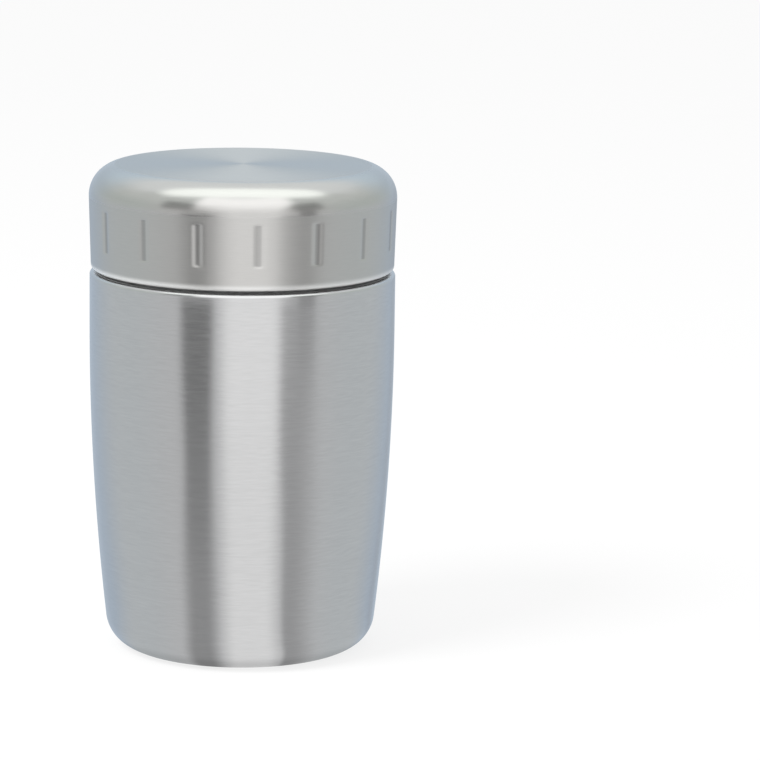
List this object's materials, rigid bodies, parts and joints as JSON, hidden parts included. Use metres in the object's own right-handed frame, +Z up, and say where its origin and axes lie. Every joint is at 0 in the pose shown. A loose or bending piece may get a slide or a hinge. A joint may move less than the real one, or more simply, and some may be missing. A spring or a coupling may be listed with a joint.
{
  "type": "insulated food jar",
  "caption": "Double-walled steel food jar with a vacuum between its walls and a steel-capped, foam-filled lid that screws onto its neck.",
  "frame": {"origin": "centre of the ring that the jar stands on", "axes": "+Z up along the jar's axis, +X to the right and -Y towards the viewer"},
  "size_m": [0.092, 0.092, 0.1465],
  "materials": {
    "brushed_shell": "satin",
    "brushed_cap": "satin",
    "inner_steel": "polished",
    "base_steel": "satin",
    "foil": "polished",
    "getter_steel": "satin",
    "getter_metal": "matte",
    "seal_glass": "gloss",
    "lid_plastic": "satin",
    "silicone": "matte",
    "foam": "matte"
  },
  "bodies": {
    "jar": {"outer_shell": "brushed_shell", "outer_bottom": "base_steel", "bottom_cover": "base_steel", "inner_liner": "inner_steel", "liner_bottom": "inner_steel", "heat_shield_sleeve": "foil", "heat_shield_disc": "foil", "getter_pill": "getter_metal", "getter_cup": "getter_steel", "evacuation_seal": "seal_glass"},
    "seal": {"lid_gasket": "silicone"},
    "lid": {"lid_cap": "brushed_cap", "lid_body": "lid_plastic", "lid_top_foam": "foam", "lid_plug_foam": "foam", "lid_plug_plate": "lid_plastic"}
  },
  "joints": [
    {"name": "lid_lift", "type": "slide", "parent": "jar", "child": "seal", "axis": [0, 0, 1], "range_m": [0, 0.04]},
    {"name": "lid_unscrew", "type": "hinge", "parent": "seal", "child": "lid", "pos_m": [0, 0, 0.1152], "axis": [0, 0, 1], "range_deg": [0, 1440]}
  ],
  "couplings": [
    {"joint": "lid_lift", "follows": "lid_unscrew", "m_per_rad": 0.0015915}
  ]
}
